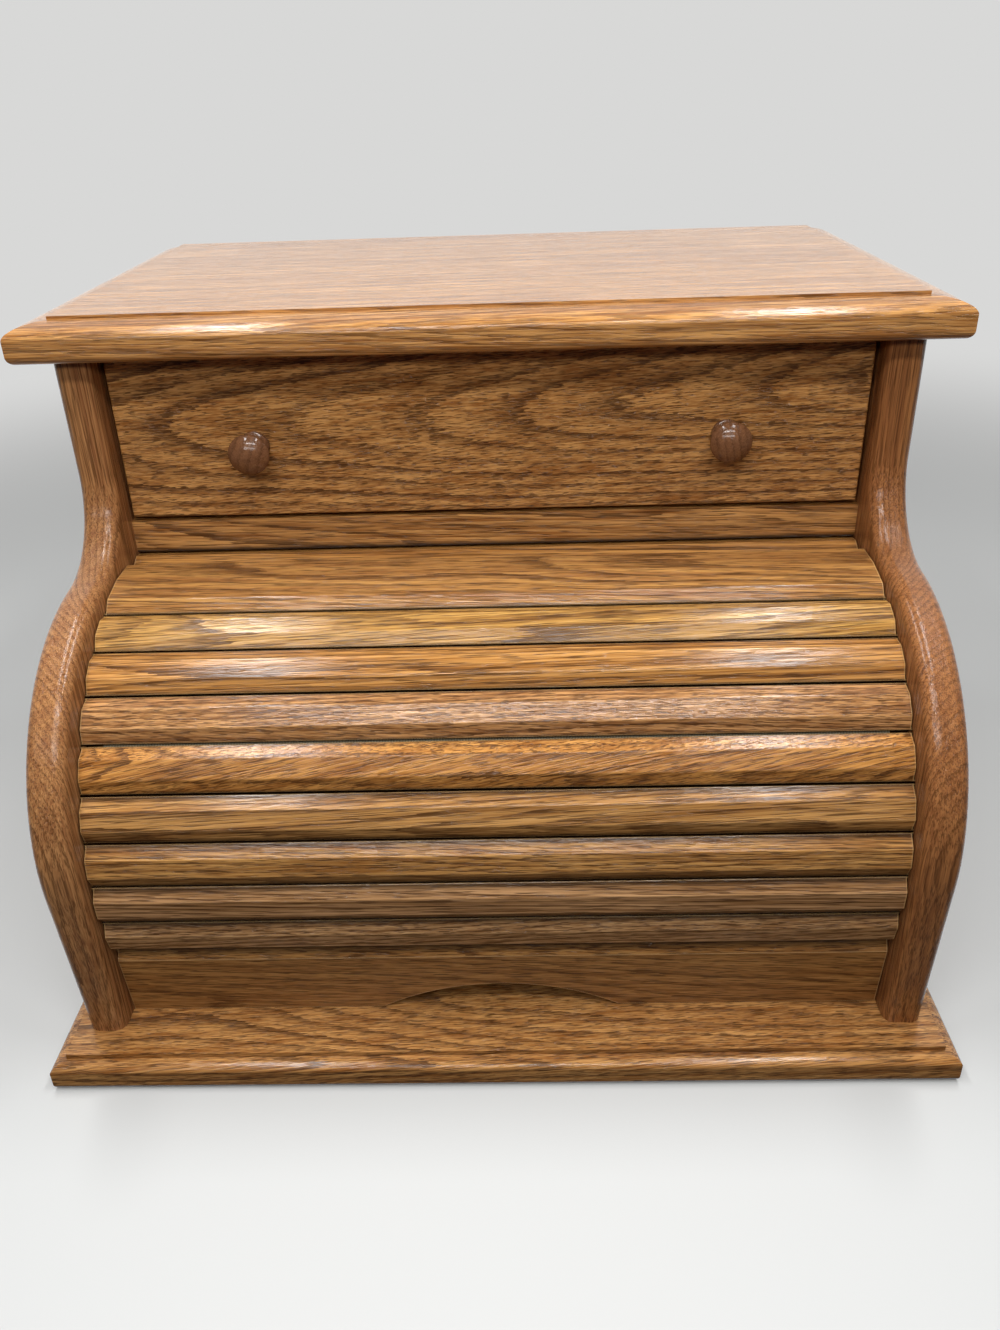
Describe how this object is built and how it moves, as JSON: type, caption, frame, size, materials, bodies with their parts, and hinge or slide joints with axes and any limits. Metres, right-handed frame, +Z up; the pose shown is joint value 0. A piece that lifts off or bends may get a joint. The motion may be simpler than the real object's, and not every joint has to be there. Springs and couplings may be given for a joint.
{
  "type": "bread box with drawer",
  "caption": "Oak bread box: roll-top tambour front between curved side boards, full-width drawer with turned knobs above, moulded top and base boards.",
  "frame": {"origin": "middle of the bounding box's underside, on the surface that the base board stands on", "axes": "+X across the front to the viewer's right, +Y to the back, +Z up; the drawer and the tambour face -Y"},
  "size_m": [0.4702, 0.409, 0.3625],
  "materials": {
    "oak_top": "golden oak, satin lacquer",
    "oak_base": "golden oak, satin lacquer",
    "oak_side": "golden oak, satin lacquer, grain upright",
    "oak_shelf": "golden oak, satin lacquer",
    "oak_slat": "golden oak, satin lacquer",
    "oak_rail": "golden oak, satin lacquer",
    "oak_drawer_front": "golden oak, satin lacquer",
    "oak_knob": "turned oak, gloss lacquer",
    "drawer_wood": "pale wood, thin lacquer",
    "drawer_ply": "plywood, thin lacquer",
    "back_ply": "plywood, thin lacquer",
    "beech_dowel": "plain beech",
    "canvas": "plain woven cotton",
    "steel_screw": "zinc plated"
  },
  "bodies": {
    "carcass": {"base_board": "oak_base", "side_left": "oak_side", "side_right": "oak_side", "top_board": "oak_top", "drawer_shelf": "oak_shelf", "back_panel": "back_ply", "base_screws": "steel_screw", "top_dowels": "beech_dowel"},
    "drawer": {"drawer_front": "oak_drawer_front", "drawer_side_left": "drawer_wood", "drawer_side_right": "drawer_wood", "drawer_back": "drawer_wood", "drawer_bottom": "drawer_ply", "knob_left": "oak_knob", "knob_right": "oak_knob", "knob_screw_left": "steel_screw", "knob_screw_right": "steel_screw"},
    "tambour": {"slat_01": "oak_slat", "slat_02": "oak_slat", "slat_03": "oak_slat", "slat_04": "oak_slat", "slat_05": "oak_slat", "slat_06": "oak_slat", "slat_07": "oak_slat", "slat_08": "oak_slat", "slat_09": "oak_slat", "slat_10": "oak_slat", "slat_11": "oak_slat", "slat_12": "oak_slat", "tambour_canvas": "canvas"},
    "lift_rail": {"lift_rail": "oak_rail", "canvas_hem": "canvas"}
  },
  "joints": [
    {"name": "drawer_slide", "type": "slide", "parent": "carcass", "child": "drawer", "axis": [0, -1, 0], "range_m": [0, 0.17]},
    {"name": "tambour_roll", "type": "hinge", "parent": "carcass", "child": "tambour", "pos_m": [0, -0.0559, 0.1058], "axis": [-1, 0, 0], "range_deg": [0, 95]},
    {"name": "rail_fold", "type": "hinge", "parent": "tambour", "child": "lift_rail", "pos_m": [0, -0.16483, 0.0668], "axis": [1, 0, 0], "range_deg": [0, 24]}
  ],
  "couplings": [
    {"joint": "rail_fold", "follows": "tambour_roll", "ratio": 0.2526}
  ]
}
